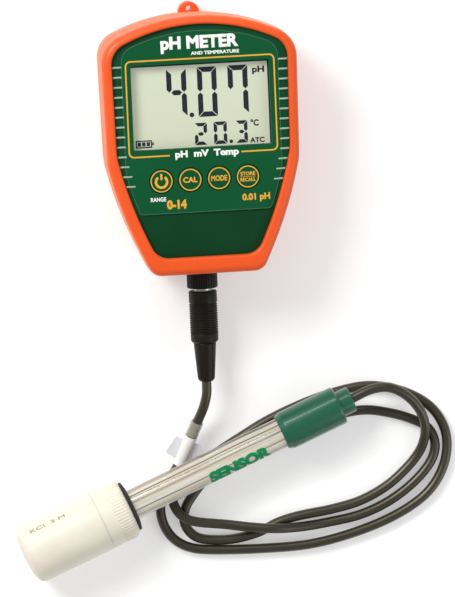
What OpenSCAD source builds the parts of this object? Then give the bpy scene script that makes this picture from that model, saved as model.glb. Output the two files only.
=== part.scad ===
// Handheld digital pH meter with its electrode lead, lying on its back on a table.
// X is right, Y is towards the hanging tab, Z is out of the display. Millimetres.

/* [Meter housing] */
// Width of the front outline
body_w = 78.6; // [72:0.2:96]
// Height of the front outline from the flat bottom to the crown of the arch
body_h = 104; // [98:0.5:126]
// Thickness from back to front
body_t = 39; // [36:0.5:46]
// How far the back is drawn in from the widest outline
back_draft = 1.6; // [0:0.1:2.5]
// Housing wall
wall = 2.4; // [1.8:0.1:3]
// Width of the hanging tab
tab_w = 8.5; // [7:0.5:12]
// How far the hanging tab stands out of the top
tab_out = 2.6; // [2:0.1:6]
// Diameter of the hole in the hanging tab
tab_hole_d = 2.4; // [2:0.1:3]

/* [Front face] */
// Depth of the green face below the bezel
face_sink = 2; // [1:0.1:3]
// Width of the display window
window_w = 55.6; // [48:0.2:58]
// Height of the display window
window_h = 34; // [28:0.2:36]
// Diameter of a round key
key_d = 9.4; // [8:0.1:10.2]
// Distance between neighbouring keys
key_pitch = 11.6; // [11.2:0.1:12.4]
// How far a key can be pressed
key_travel = 0.4; // [0.2:0.1:0.6]
// Number of grip ribs on each side
rib_count = 13; // [9:1:14]

/* [Batteries] */
// Diameter of one cell
cell_d = 10.4; // [10:0.1:10.6]
// Length of one cell
cell_l = 44.5; // [42:0.5:45]

/* [Plug] */
// Diameter of the knurled coupling ring
ring_d = 12.4; // [12:0.1:14]
// Diameter of the ribbed grip
grip_d = 11.4; // [10.6:0.1:13]
// Diameter of the lead
cord_d = 4; // [3.4:0.1:4]

/* [Electrode] */
// Outer diameter of the clear electrode tube
tube_d = 12.5; // [12:0.1:13]
// Diameter of the green electrode cap
cap_d = 16; // [15:0.5:18]
// Length of the green electrode cap
cap_l = 25; // [20:1:30]
// Outer diameter of the storage bottle and its screw cap
bottle_d = 25.2; // [24:0.2:28]
// Length of the storage bottle from its rounded end to the screw cap
bottle_l = 33.5; // [28:0.5:36]

/* [Hidden] */
gap = 0.3;          // air between parts that move against each other
snug = 0.05;        // air between parts that are fixed together
split_z = 23;       // where the rear shell ends
gasket_t = 0.6;
face_z = body_t - face_sink;
face_t = 2.2;
lcd_z = face_z - face_t - 3.6;
overlay_t = 0.4;
key_y = -14.85;
window_y = -2.2;    // bottom edge of the display window
board_z = 24.4;
board_t = 1.6;
cell_z = 9;
cell_pitch = cell_d + 0.6;
plug_z = 12;        // height of the socket axis above the table
bottom_y = -53.2;
mid_y = bottom_y + body_h / 2;
corner = [body_w / 2 - 8.3, body_h / 2 - 12.6, body_w / 2 - 19.7, body_h / 2 - 7];
boss_xy = [[corner[0], mid_y + corner[1]], [-corner[0], mid_y + corner[1]],
    [corner[2], mid_y - corner[3]], [-corner[2], mid_y - corner[3]]];
tab_top = mid_y + body_h / 2 + tab_out;
tab_hole_y = tab_top - 1.6 - tab_hole_d / 2;
post_y = window_y + window_h + 4.5;
post_xy = [[22, post_y], [-22, post_y], [20, -36], [-20, -36]];
door_xy = [[20, 35.8], [-20, 35.8], [20, -23], [-20, -23]];
door_size = [52, 65.6];
door_mid = [0, 6.4];
door_t = 2;
tray_in = [45.6, 50.4];
tray_mid = [0, 6.4];
key_x = [for (i = [0:3]) (i - 1.5) * key_pitch];
pad_d = 16;         // flat the socket is bolted to
seat_t = wall + 1.8; // wall thickness under the socket's nut
ring_y = -62;       // end of the coupling ring
grip_y = -63.2;     // where the grip begins
grip_l = 21.2;
screw_r = 1.25;     // case screws
boss_r = 3.8;       // bezel bosses the case screws bite in
rib_l = 3;          // longest grip rib
stem_d = tube_d - 5.5;
stem_y = 0.8;       // the glass stem stands off the tube's axis

// electrode axis on the table: the rounded end of the bottle and the direction to the cap
tip = [-76.5, -167.3];
lean = 22.6;
axis_z = bottle_d / 2;
cap_u = 116;        // distances along the electrode axis from the rounded bottle end
boss_l = 5.6;
seal_u = bottle_l + 12.4;

// centre line of the lead, from the plug's boot to the electrode cap
route = [
    [0, -100.2, 12], [-0.2, -105.6, 11.9], [-1.5, -111, 10.6], [-3.4, -116, 8.3],
    [-7.2, -124.8, 5.5], [-11, -133.6, 2.7], [-14.8, -140.2, 2], [-18.4, -147, 2],
    [-20, -153.5, 2], [-18.6, -160.4, 2], [-14.8, -166, 2], [-8.8, -169.6, 2],
    [0, -171.2, 2], [20, -172, 2], [41, -171.4, 2], [61, -167.2, 2], [78, -160.8, 2],
    [90.4, -152.4, 2], [97.2, -141.2, 2], [98.2, -129, 2], [92.8, -118.4, 2],
    [82, -111.2, 2], [68, -107.8, 2], [54, -109.4, 2], [39, -113.8, 2], [25, -119.6, 2],
    [14, -125.6, 2], [3.6, -131.6, 2], [-5.4, -137.4, 2], [-11.6, -142.6, 2],
    [-14.8, -147.6, 3], [-14.4, -152.2, 5], [-11.4, -156.2, 6.4], [-6, -158.6, 6.2],
    [6, -160.6, 5.2], [17, -162.4, 6], [26, -163.4, 6.2], [36, -163.8, 4], [47.6, -163, 2],
    [61.6, -160.6, 2], [74, -155.6, 2], [84.4, -148.4, 2], [91.4, -140.6, 2],
    [93.6, -133.4, 2], [91, -126.6, 2], [84.6, -122.6, 2], [75.4, -119.4, 2],
    [65, -117.6, 2], [54, -119, 2], [42, -123, 2], [26, -128.6, 2], [12, -133, 2],
    [4, -137, 2], [-1.6, -142.4, 2], [-6, -147.6, 2], [-9.6, -153, 2], [-10.6, -158.6, 2],
    [-8.2, -163.6, 2], [-3, -166.6, 2], [8, -167.4, 2], [19, -165.4, 2], [28, -161.6, 2],
    [37, -159.4, 2], [50, -157.6, 2], [62, -154.8, 2], [73, -149.4, 2], [81.4, -142.6, 2],
    [86.6, -136.4, 2.8], [88.8, -131, 4.4], [89.2, -125, 6.6], [87.6, -119.2, 8.4],
    [84, -113.8, 9.9], [78.8, -109.4, 11.2], [73, -107.2, 12.1], [66.2, -107.9, 12.6],
    [58.88, -110.95, 12.6]
];

$fn = 64;

// ---- outlines -------------------------------------------------------------
// a chain of clockwise arcs, each [radius, heading it ends at, straight run after it]
function trace(steps, p, h, i = 0) = i >= len(steps) ? [] :
    let (s = steps[i], c = p - s[0] * [sin(h), cos(h)],
        n = max(2, ceil((s[1] - h) / (s[0] > 40 ? 4 : 11))),
        arc = [for (k = [1:n]) let (q = h + (s[1] - h) * k / n) c + s[0] * [sin(q), cos(q)]],
        e = arc[n - 1], q = e + s[2] * [cos(s[1]), -sin(s[1])])
    concat(arc, s[2] > 0 ? [q] : [], trace(steps, s[2] > 0 ? q : e, s[1], i + 1));
function closed(half, top) = concat([top], half,
    [for (i = [len(half) - 1:-1:0]) if (half[i].x > 0.01) [-half[i].x, half[i].y]]);
function fitted(pts, w, h, y0) =
    let (xs = max([for (p = pts) p.x]), lo = min([for (p = pts) p.y]), hi = max([for (p = pts) p.y]))
    [for (p = pts) [p.x * w / 2 / xs, y0 + (p.y - lo) * h / (hi - lo)]];
function inset(pts, d) = let (n = len(pts))
    [for (i = [0:n - 1]) let (a = pts[(i + n - 1) % n], b = pts[(i + 1) % n], t = (b - a) / norm(b - a))
        pts[i] + d * [t.y, -t.x]];

body_pts = fitted(closed(trace([[76, 25.2, 0], [12, 90.9, 38], [20, 103, 0], [170, 115, 6.3], [6, 180, 0]],
    [0, 0], 0), [0, 0]), body_w, body_h, bottom_y);
face_h = body_h - 10.6;
face_w = body_w - 8;
face_y = bottom_y + 7.2;
face_pts = fitted(closed(trace([[72, 25, 0], [8.5, 90.9, 33.5], [18, 103, 0], [160, 115, 3], [7.5, 180, 0]],
    [0, 0], 0), [0, 0]), face_w, face_h, face_y);
panel_top = face_y + face_h - 2.4;
panel_x = face_w / 2 - 3.8;
panel_half = [[panel_x - 22.5, panel_top - 0.55], [panel_x - 13.5, panel_top - 2.3],
    [panel_x - 6.5, panel_top - 4.6], [panel_x - 2.9, panel_top - 6.2],
    [panel_x - 0.9, panel_top - 8.2], [panel_x, panel_top - 11], [panel_x, -9.5],
    [panel_x - 0.5, -13.2], [panel_x - 2.9, -21.5], [panel_x - 4.9, -27.2], [panel_x - 5.7, -28]];
panel_pts = closed(panel_half, [0, panel_top]);
board_x = body_w / 2 - 6.3;
board_top = mid_y + body_h / 2 - 11.2;
board_pts = closed([[board_x - 7, board_top], [board_x - 7, board_top - 7], [board_x, board_top - 7],
    [board_x, -12], [board_x - 8, -39.6]], [0, board_top]);

// how far out an outline reaches at height y
function edge_x(pts, y) = let (n = len(pts)) max([for (i = [0:n - 1])
    let (a = pts[i], b = pts[(i + 1) % n]) if (min(a.y, b.y) <= y && y < max(a.y, b.y))
        a.x + (b.x - a.x) * (y - a.y) / (b.y - a.y)]);

// a solid through rings of equally many points, bottom ring first
module loft(rings, zs) {
    n = len(rings[0]);
    m = len(rings);
    polyhedron(
        [for (k = [0:m - 1]) for (p = rings[k]) [p.x, p.y, zs[k]]],
        concat([[for (i = [n - 1:-1:0]) i]],
            [for (k = [0:m - 2]) for (i = [0:n - 1]) let (j = (i + 1) % n)
                [k * n + i, k * n + j, (k + 1) * n + j]],
            [for (k = [0:m - 2]) for (i = [0:n - 1]) let (j = (i + 1) % n)
                [k * n + i, (k + 1) * n + j, (k + 1) * n + i]],
            [[for (i = [0:n - 1]) (m - 1) * n + i]]));
}
module body_loft(steps) {
    // each step is [height, how far the outline is drawn in there]
    loft([for (s = steps) inset(body_pts, s[1])], [for (s = steps) s[0]]);
}
function soft_edge(z, r, d, up) = [for (a = up ? [0:18:90] : [90:-18:0])
    [z + (up ? 1 : -1) * r * sin(a), d + r * (1 - cos(a))]];

// ---- tubes along a route --------------------------------------------------
function spline(a, b, c, d, t) = 0.5 * (2 * b + (c - a) * t + (2 * a - 5 * b + 4 * c - d) * t * t
    + (3 * b - a - 3 * c + d) * t * t * t);
function smooth(p, step) = let (n = len(p)) concat([for (i = [0:n - 2])
    let (m = max(1, round(norm(p[i + 1] - p[i]) / step)), a = i > 0 ? p[i - 1] : 2 * p[0] - p[1],
        d = i < n - 2 ? p[i + 2] : 2 * p[n - 1] - p[n - 2])
    for (k = [0:m - 1]) spline(a, p[i], p[i + 1], d, k / m)], [p[n - 1]]);
function unit(v) = v / norm(v);
module tube_along(p, r, sides) {
    n = len(p);
    t = [for (i = [0:n - 1]) unit(p[min(i + 1, n - 1)] - p[max(i - 1, 0)])];
    polyhedron(
        [for (i = [0:n - 1]) let (s = unit(cross(t[i], abs(t[i].z) > 0.9 ? [1, 0, 0] : [0, 0, 1])),
            u = cross(s, t[i])) for (k = [0:sides - 1])
            p[i] + r * (cos(k * 360 / sides) * s + sin(k * 360 / sides) * u)],
        concat([[for (k = [0:sides - 1]) k]],
            [for (i = [0:n - 2]) for (k = [0:sides - 1]) let (j = (k + 1) % sides)
                [i * sides + j, i * sides + k, (i + 1) * sides + k]],
            [for (i = [0:n - 2]) for (k = [0:sides - 1]) let (j = (k + 1) % sides)
                [i * sides + j, (i + 1) * sides + k, (i + 1) * sides + j]],
            [[for (k = [sides - 1:-1:0]) (n - 1) * sides + k]]));
}

// ---- placing --------------------------------------------------------------
module on_plug(y) translate([0, y, plug_z]) rotate([-90, 0, 0]) children();
module on_electrode(u) translate([tip.x + u * cos(lean), tip.y + u * sin(lean), axis_z])
    rotate([0, 0, lean]) rotate([0, 90, 0]) children();
module plate(size, r, t) translate([-size.x / 2, -size.y / 2, 0]) {
    translate([r, 0, 0]) cube([size.x - 2 * r, size.y, t]);
    translate([0, r, 0]) cube([size.x, size.y - 2 * r, t]);
    for (x = [r, size.x - r]) for (y = [r, size.y - r]) translate([x, y, 0]) cylinder(r = r, h = t);
}

// ---- housing --------------------------------------------------------------
module rear_housing() color([0.91, 0.36, 0.14]) difference() {
    union() {
        body_loft(concat([[0, back_draft + 4]],
            [for (a = [72:-18:0]) [4 - 4 * sin(a), back_draft + 4 - 4 * cos(a)]], [[split_z, 0]]));
        translate([0, tab_top - tab_w / 2, 2]) cylinder(d = tab_w, h = 5);
        translate([-tab_w / 2, tab_top - tab_w / 2 - 4, 2]) cube([tab_w, 4, 5]);
        on_plug(bottom_y) cylinder(d = pad_d, h = wall, $fn = 12);
    }
    difference() {
        body_loft([[3.2, back_draft + wall + 1.6], [5, back_draft + wall], [split_z + 0.1, wall]]);
        for (p = boss_xy) translate([p.x, p.y, 0]) cylinder(r = 3.4, h = split_z + 1);
        for (p = door_xy) translate([p.x, p.y, 0]) cylinder(r = 2.8, h = 9);
        translate([-pad_d / 2, bottom_y - 1, plug_z - pad_d / 2]) cube([pad_d, seat_t + 1, pad_d]);
    }
    translate([0, tab_hole_y, 0]) cylinder(d = tab_hole_d, h = 7.02);
    for (p = boss_xy) translate([p.x, p.y, -1]) {
        cylinder(r = 2.6, h = 7);
        cylinder(r = 1.5, h = split_z + 2);
    }
    for (p = door_xy) translate([p.x, p.y, -1]) cylinder(r = 1.25, h = 9);
    translate([door_mid.x, door_mid.y, -1]) plate(door_size + [0.4, 0.4], 3.2, 1 + door_t + 0.4);
    translate([tray_mid.x - tray_in.x / 2, tray_mid.y - tray_in.y / 2, -1]) cube([tray_in.x, tray_in.y, 6]);
    on_plug(bottom_y - 1) cylinder(d = 9.7, h = 8);
}
module front_bezel() color([0.95, 0.37, 0.16]) {
    difference() {
        body_loft(concat([[split_z + gasket_t, 0]], soft_edge(body_t - 3.2, 3.2, 0, true)));
        difference() {
            body_loft([[split_z, wall], [face_z - face_t + 1.2, wall]]);
            for (p = boss_xy) translate([p.x, p.y, 0]) cylinder(r = boss_r, h = face_z - face_t);
        }
        for (p = boss_xy) translate([p.x, p.y, 0]) cylinder(r = 1.3, h = face_z - face_t - 3);
        loft([inset(face_pts, -0.1), inset(face_pts, -0.1), inset(face_pts, -0.35), inset(face_pts, -0.9)],
            [face_z - face_t, body_t - 0.9, body_t - 0.3, body_t + 0.1]);
    }
}
module case_gasket() color([0.1, 0.1, 0.1]) difference() {
    body_loft([[split_z, 0.5], [split_z + gasket_t, 0.5]]);
    body_loft([[split_z - 1, 2], [split_z + 1, 2]]);
    for (p = boss_xy) translate([p.x, p.y, split_z - 1]) cylinder(r = screw_r + gap, h = 3);
}
module face_plate() color([0.055, 0.33, 0.19]) {
    difference() {
        union() {
            body_loft([[face_z - face_t, wall + snug], [face_z - face_t + 1.1, wall + snug]]);
            loft([inset(face_pts, snug), inset(face_pts, snug)], [face_z - face_t + 1.1, face_z]);
        }
        translate([-window_w / 2, window_y, face_z - 5]) cube([window_w, window_h, 9]);
        for (x = key_x) translate([x, key_y, face_z - 5]) cylinder(d = key_d + 2 * gap, h = 9);
    }
    for (i = [0:rib_count - 1]) for (s = [-1, 1])
        let (y = 31.6 - i * 48 / (rib_count - 1),
            out = min(edge_x(face_pts, y - 0.4), edge_x(face_pts, y + 0.4)) - 2 * snug,
            w = min(rib_l, out - edge_x(panel_pts, y + 0.4) - snug))
        translate([s * (out - w / 2) - w / 2, y - 0.4, face_z]) cube([w, 0.8, 0.6]);
    for (p = post_xy) translate([p.x, p.y, board_z + board_t]) difference() {
        cylinder(r = 2.2, h = face_z - face_t - board_z - board_t);
        translate([0, 0, -1]) cylinder(r = 1.05, h = 6);
    }
}
module overlay_panel() color([0.05, 0.38, 0.22]) difference() {
    translate([0, 0, face_z]) linear_extrude(overlay_t) intersection() {
        polygon(panel_pts);
        polygon(inset(face_pts, 0.3));
    }
    translate([-window_w / 2, window_y, face_z - 1]) cube([window_w, window_h, 9]);
    for (x = key_x) translate([x, key_y, face_z - 1]) cylinder(d = key_d + 2 * gap, h = 9);
}
module window_lens() color([0.8, 0.9, 0.9, 0.3])
    translate([-window_w / 2 - 1.2, window_y - 1.2, face_z - face_t - 1])
        cube([window_w + 2.4, window_h + 2.4, 1]);
module lcd_glass() color([0.82, 0.83, 0.75])
    translate([-window_w / 2 - 1, window_y - 1, lcd_z]) cube([window_w + 2, window_h + 2, 2.5]);
module lcd_holder() color([0.9, 0.9, 0.88]) difference() {
    translate([-window_w / 2 - 2.2, window_y - 2.2, board_z + board_t])
        cube([window_w + 4.4, window_h + 4.4, face_z - face_t - board_z - board_t - 1]);
    translate([-window_w / 2 - 1 - snug, window_y - 1 - snug, board_z])
        cube([window_w + 2 + 2 * snug, window_h + 2 + 2 * snug, 20]);
}
module zebra_strips() color([0.75, 0.35, 0.45]) for (y = [window_y - 0.6, window_y + window_h - 1.8])
    translate([-window_w / 2, y, board_z + board_t]) cube([window_w, 2.4, lcd_z - board_z - board_t]);
module case_screws() color([0.7, 0.7, 0.72]) for (p = boss_xy) translate([p.x, p.y, 0]) difference() {
    union() {
        translate([0, 0, 4.2]) cylinder(r = 2.4, h = 1.8);
        translate([0, 0, 6]) cylinder(r = screw_r, h = 24);
    }
    for (a = [0, 90]) translate([0, 0, 4.5]) rotate([0, 0, a]) cube([3, 0.7, 1.2], center = true);
}

// ---- electronics ----------------------------------------------------------
module main_board() color([0.05, 0.3, 0.15]) difference() {
    translate([0, 0, board_z]) linear_extrude(board_t) difference() {
        intersection() {
            polygon(board_pts);
            polygon(inset(body_pts, wall + 2 * gap));
        }
        for (p = boss_xy) translate(p) circle(r = boss_r + 2 * gap);
    }
    for (p = post_xy) translate([p.x, p.y, board_z - 1]) cylinder(r = 1.2, h = 5);
}
module board_chips() color([0.08, 0.08, 0.09]) {
    translate([-7, 4, board_z - 2]) cube([14, 14, 2]);
    translate([12, -14, board_z - 1.6]) cube([8, 5, 1.6]);
    translate([-20, -12, board_z - 1.6]) cube([5, 6, 1.6]);
    translate([-5, -31, board_z + board_t]) cube([10, 7, 1.4]);
    translate([10, -31, board_z + board_t]) cylinder(r = 2.4, h = 5);
    translate([-14, -30, board_z + board_t]) cube([4.5, 11, 3.6]);
}
module tact_switches() color([0.75, 0.75, 0.76]) for (x = key_x) translate([x, key_y, board_z + board_t]) {
    translate([-3, -3, 0]) cube([6, 6, 2.2]);
    translate([0, 0, 2.2]) cylinder(r = 1.6, h = 0.9);
}
module board_screws() color([0.7, 0.7, 0.72]) for (p = post_xy) translate([p.x, p.y, board_z]) {
    translate([0, 0, -1.4]) cylinder(r = 2, h = 1.4);
    cylinder(r = 1, h = board_t + 4.5);
}
module battery_tray() color([0.12, 0.12, 0.13]) difference() {
    translate([tray_mid.x - tray_in.x / 2 + snug, tray_mid.y - tray_in.y / 2 + snug, door_t + 0.6])
        cube([tray_in.x - 2 * snug, tray_in.y - 2 * snug, 13]);
    for (i = [0:3]) translate([(i - 1.5) * cell_pitch, tray_mid.y - tray_in.y / 2 + 1.2, 0]) {
        translate([-cell_d / 2 - 0.15, 0, -1]) cube([cell_d + 0.3, tray_in.y - 2.4, cell_z + 1]);
        translate([0, 0, cell_z]) rotate([-90, 0, 0]) cylinder(d = cell_d + 0.3, h = tray_in.y - 2.4);
    }
}
module battery_cells() color([0.2, 0.22, 0.26]) for (i = [0:3])
    translate([(i - 1.5) * cell_pitch, tray_mid.y - cell_l / 2, cell_z]) rotate([-90, 0, 0]) {
        translate([0, 0, i % 2 == 0 ? 0 : 1]) cylinder(d = cell_d, h = cell_l - 1);
        translate([0, 0, i % 2 == 0 ? cell_l - 1 : 0]) cylinder(d = 3.6, h = 1);
    }
module battery_contacts() color([0.78, 0.76, 0.7]) for (i = [0:3]) for (s = [-1, 1])
    let (room = (tray_in.y - 2.4 - cell_l) / 2)
    translate([(i - 1.5) * cell_pitch, tray_mid.y + s * (cell_l / 2 + room), cell_z]) rotate([s * 90, 0, 0]) {
        translate([-3.6, -3.6, snug]) cube([7.2, 7.2, 0.4]);
        translate([0, 0, snug + 0.4]) cylinder(r1 = 3, r2 = 2, h = room - snug - 0.45);
    }
module battery_door() color([0.86, 0.33, 0.13]) difference() {
    translate([door_mid.x, door_mid.y, 0]) plate(door_size, 3, door_t);
    for (p = door_xy) translate([p.x, p.y, -1]) cylinder(r = 1.5, h = 5);
    for (p = door_xy) translate([p.x, p.y, -1]) cylinder(r = 2.6, h = 2);
    for (i = [-3:3]) translate([-12, -24.4 + i * 1.1 + 3.3, -0.1]) cube([24, 0.5, 0.5]);
}
module door_gasket() color([0.1, 0.1, 0.1]) difference() {
    translate([door_mid.x, door_mid.y, door_t]) plate(door_size - [2, 2], 2.6, 0.35);
    translate([tray_mid.x - tray_in.x / 2, tray_mid.y - tray_in.y / 2, 0]) cube([tray_in.x, tray_in.y, 6]);
    for (p = door_xy) translate([p.x, p.y, -1]) cylinder(r = 1.8, h = 9);
}
module door_screws() color([0.7, 0.7, 0.72]) for (p = door_xy) translate([p.x, p.y, 0]) difference() {
    union() {
        translate([0, 0, 0.2]) cylinder(r = 2.4, h = 0.8);
        translate([0, 0, 1]) cylinder(r = 1.2, h = 6);
    }
    for (a = [0, 90]) rotate([0, 0, a]) cube([3, 0.6, 1], center = true);
}

// ---- socket ---------------------------------------------------------------
module socket_body() color([0.1, 0.1, 0.11]) on_plug(bottom_y) difference() {
    union() {
        translate([0, 0, -6.6]) cylinder(d = 9.4, h = 19);
        translate([0, 0, -1.6]) cylinder(d = 12.2, h = 1.6 - snug);
    }
    translate([0, 0, -7]) cylinder(d = 8, h = 17);
    translate([0, 0, 9]) cylinder(d = 7.4, h = 5);
}
module socket_nut() color([0.75, 0.75, 0.76]) on_plug(bottom_y + seat_t + snug) difference() {
    cylinder(r = 7.2, h = 2.2, $fn = 6);
    translate([0, 0, -1]) cylinder(d = 9.5, h = 6);
}
module socket_insert() color([0.15, 0.15, 0.16]) on_plug(bottom_y + 8) difference() {
    cylinder(d = 7.3, h = 4.6);
    for (a = [0:72:288]) rotate([0, 0, a]) translate([2, 0, -1]) cylinder(r = 0.75, h = 4.2);
}
module socket_wires() color([0.7, 0.12, 0.1]) for (x = [-1.6, 0, 1.6])
    tube_along([[x, bottom_y + 12.7, plug_z], [x, bottom_y + 14, plug_z + 0.6],
        [x, bottom_y + 15.4, plug_z + 4], [x, bottom_y + 15.8, plug_z + 8.5],
        [x, bottom_y + 15.8, board_z]], 0.45, 6);

// ---- keys -----------------------------------------------------------------
module round_key(i) color([0.05, 0.38, 0.22]) translate([key_x[i], key_y, 0]) {
    translate([0, 0, face_z - face_t - 1.1]) cylinder(d = key_d, h = face_t + overlay_t + 1.25);
    translate([0, 0, face_z - face_t - 1.1]) cylinder(d = key_d + 1.6, h = 1.1 - gap);
    translate([0, 0, board_z + board_t + 3.1 + key_travel + 0.05])
        cylinder(r = 1.8, h = face_z - face_t - 1.1 - board_z - board_t - 3.1 - key_travel);
}
module key_power() round_key(0);
module key_cal() round_key(1);
module key_mode() round_key(2);
module key_recall() round_key(3);

// ---- plug -----------------------------------------------------------------
module coupling_ring() color([0.11, 0.11, 0.1]) on_plug(ring_y) difference() {
    cylinder(d = ring_d, h = 6.6);
    translate([0, 0, 1]) cylinder(d = 10, h = 8);
    translate([0, 0, -1]) cylinder(d = 8, h = 8);
    for (a = [0:12:348]) rotate([0, 0, a]) translate([ring_d / 2, 0, -1]) cylinder(r = 0.28, h = 9, $fn = 8);
}
module plug_shell() color([0.75, 0.75, 0.74]) on_plug(grip_y) difference() {
    union() {
        translate([0, 0, -6]) cylinder(d = 7.4, h = 6 + 13.2);
        translate([0, 0, 2.5]) cylinder(d = 9.2, h = 0.6);
    }
    translate([0, 0, -7]) cylinder(d = 6.4, h = 30);
}
module plug_insert() color([0.16, 0.16, 0.17]) on_plug(grip_y) translate([0, 0, -5.9])
    cylinder(d = 6.4 - 2 * snug, h = 5.9 + 12);
module plug_pins() color([0.83, 0.7, 0.35]) on_plug(grip_y + 12) for (a = [0:72:288])
    rotate([0, 0, a]) translate([2, 0, snug]) cylinder(r = 0.45, h = 8.6);
module plug_grip() color([0.11, 0.11, 0.1]) on_plug(grip_y - grip_l) difference() {
    union() {
        translate([0, 0, 0.9]) cylinder(d = grip_d - 0.2, h = 3.1);
        cylinder(d1 = grip_d - 2, d2 = grip_d - 0.2, h = 0.9);
        translate([0, 0, 4]) cylinder(d = grip_d - 0.9, h = 12.4);
        translate([0, 0, 16.4]) cylinder(d = grip_d, h = grip_l - 16.4 - snug);
        for (i = [0:12]) translate([0, 0, 4.15 + i * 0.93]) cylinder(d = grip_d, h = 0.5);
    }
    translate([0, 0, 15.2]) cylinder(d = 7.4 + 2 * snug, h = 8);
    translate([0, 0, -1]) cylinder(d = 5, h = 18);
}
module plug_boot() color([0.12, 0.12, 0.11]) on_plug(route[0].y) difference() {
    union() {
        translate([0, 0, 1]) cylinder(d1 = 6.9, d2 = 9.1, h = grip_y - grip_l - route[0].y - 1 - snug);
        cylinder(d1 = 5.2, d2 = 6.9, h = 1);
    }
    translate([0, 0, 6]) cylinder(d = 4.6, h = 12);
}

// ---- lead -----------------------------------------------------------------
run_dir = unit(route[5] - route[3]);
module on_run(d) translate(route[3] + d * run_dir) rotate([0, 0, atan2(run_dir.y, run_dir.x)])
    rotate([0, acos(run_dir.z), 0]) children();
module lead_cord() color([0.13, 0.13, 0.12]) tube_along(smooth(route, 11), cord_d / 2, 10);
module clear_sleeve() color([0.6, 0.6, 0.56, 0.6]) on_run(2.4) difference() {
    cylinder(r = 2.7, h = 6.6);
    translate([0, 0, -1]) cylinder(r = 2.25, h = 12);
}
module id_label() color([0.93, 0.93, 0.92]) on_run(9.2) difference() {
    cylinder(r = 2.75, h = 8.8);
    translate([0, 0, -1]) cylinder(r = 2.25, h = 12);
}
module label_flag() color([0.85, 0.86, 0.88, 0.7]) on_run(9.4) for (s = [-1, 1])
    translate([-0.15, s > 0 ? 2.8 : -6.6, 0]) cube([0.3, 3.8, 8]);

// ---- electrode ------------------------------------------------------------
module electrode_cap() color([0.055, 0.42, 0.32]) on_electrode(cap_u) difference() {
    union() {
        cylinder(d = cap_d, h = cap_l - 0.8);
        translate([0, 0, cap_l - 0.8]) cylinder(d1 = cap_d, d2 = cap_d - 1.6, h = 0.8);
        translate([0, 0, cap_l]) cylinder(d = 10.6, h = boss_l - 1);
        translate([0, 0, cap_l + boss_l - 1]) cylinder(d1 = 10.6, d2 = 8.6, h = 1);
    }
    translate([0, 0, -1]) cylinder(d = tube_d + 2 * snug, h = 11);
}
module electrode_tube() color([0.85, 0.83, 0.76, 0.45]) on_electrode(8) difference() {
    cylinder(d = tube_d, h = cap_u - 8 + 10 - snug);
    translate([0, 0, -1]) cylinder(d = tube_d - 2.4, h = 140);
    for (a = [0:90:270]) rotate([0, 0, a]) translate([4, -1.5, -1]) cube([6, 3, 9]);
}
module inner_stem() color([0.85, 0.85, 0.82, 0.5]) on_electrode(16) difference() {
    translate([0, stem_y, 0]) cylinder(d = stem_d, h = cap_u - 16 + 4);
    translate([0, stem_y, 1]) cylinder(d = stem_d - 1.4, h = 140);
}
module glass_bulb() color([0.8, 0.85, 0.85, 0.5]) on_electrode(12.5) translate([0, stem_y, 0]) {
    sphere(d = stem_d - 2 * snug);
    cylinder(d = stem_d - 2, h = 3.5 - snug);
}
module element_wires() color([0.4, 0.38, 0.33]) on_electrode(20) for (s = [-1, 1])
    translate([0, stem_y + s * (stem_d / 2 - 1.8), 0]) cylinder(d = 0.7, h = cap_u - 20 - 8);
module temp_sensor() color([0.45, 0.43, 0.38]) on_electrode(14)
    translate([0, 2.25 - tube_d / 2, 0]) cylinder(d = 1.7, h = cap_u - 14 + 8);
module stem_plug() color([0.14, 0.13, 0.1]) on_electrode(cap_u - 7.6) translate([0, stem_y, 0])
    cylinder(d = stem_d - 1.5, h = 6);

// ---- storage bottle -------------------------------------------------------
module cap_seal() color([0.05, 0.05, 0.05]) on_electrode(seal_u) difference() {
    cylinder(d = bottle_d - 2, h = 1.3);
    translate([0, 0, -1]) cylinder(d = tube_d + 0.12, h = 5);
}
module storage_cap() color([0.93, 0.91, 0.85]) on_electrode(bottle_l + 0.3) difference() {
    union() {
        cylinder(d = bottle_d - 0.4, h = 12 - gap);
        for (a = [0:6:354]) rotate([0, 0, a]) translate([bottle_d / 2 - 0.35, 0, 5])
            cylinder(r = 0.35, h = 6.2, $fn = 6);
    }
    translate([0, 0, -1]) cylinder(d = bottle_d - 4.6, h = 11);
    translate([0, 0, -1]) cylinder(d = tube_d + 1.2, h = 20);
}
module storage_bottle() color([0.94, 0.92, 0.86]) on_electrode(0) difference() {
    rotate_extrude() difference() {
        polygon(concat([[0, 0], [bottle_d / 2 - 6, 0]],
            [for (a = [15:15:90]) [bottle_d / 2 - 5 + 4.8 * sin(a), 4.8 - 4.8 * cos(a)]],
            [[bottle_d / 2, bottle_l], [bottle_d / 2 - 2.7, bottle_l],
                [bottle_d / 2 - 2.7, bottle_l + 9.6], [0, bottle_l + 9.6]]));
        polygon([[0, 1.6], [bottle_d / 2 - 5.6, 1.6], [bottle_d / 2 - 2, 6],
            [bottle_d / 2 - 1.8, bottle_l - 3], [bottle_d / 2 - 4.2, bottle_l],
            [bottle_d / 2 - 4.2, bottle_l + 10], [0, bottle_l + 10]]);
    }
}

rear_housing();
front_bezel();
case_gasket();
face_plate();
overlay_panel();
window_lens();
lcd_glass();
lcd_holder();
zebra_strips();
main_board();
board_chips();
tact_switches();
board_screws();
case_screws();
battery_tray();
battery_cells();
battery_contacts();
battery_door();
door_gasket();
door_screws();
socket_body();
socket_nut();
socket_insert();
socket_wires();
key_power();
key_cal();
key_mode();
key_recall();
coupling_ring();
plug_shell();
plug_insert();
plug_pins();
plug_grip();
plug_boot();
lead_cord();
clear_sleeve();
id_label();
label_flag();
electrode_cap();
electrode_tube();
inner_stem();
glass_bulb();
element_wires();
temp_sensor();
stem_plug();
cap_seal();
storage_cap();
storage_bottle();
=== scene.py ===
from math import acos, atan2, ceil, cos, pi, radians, sin, tan

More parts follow.
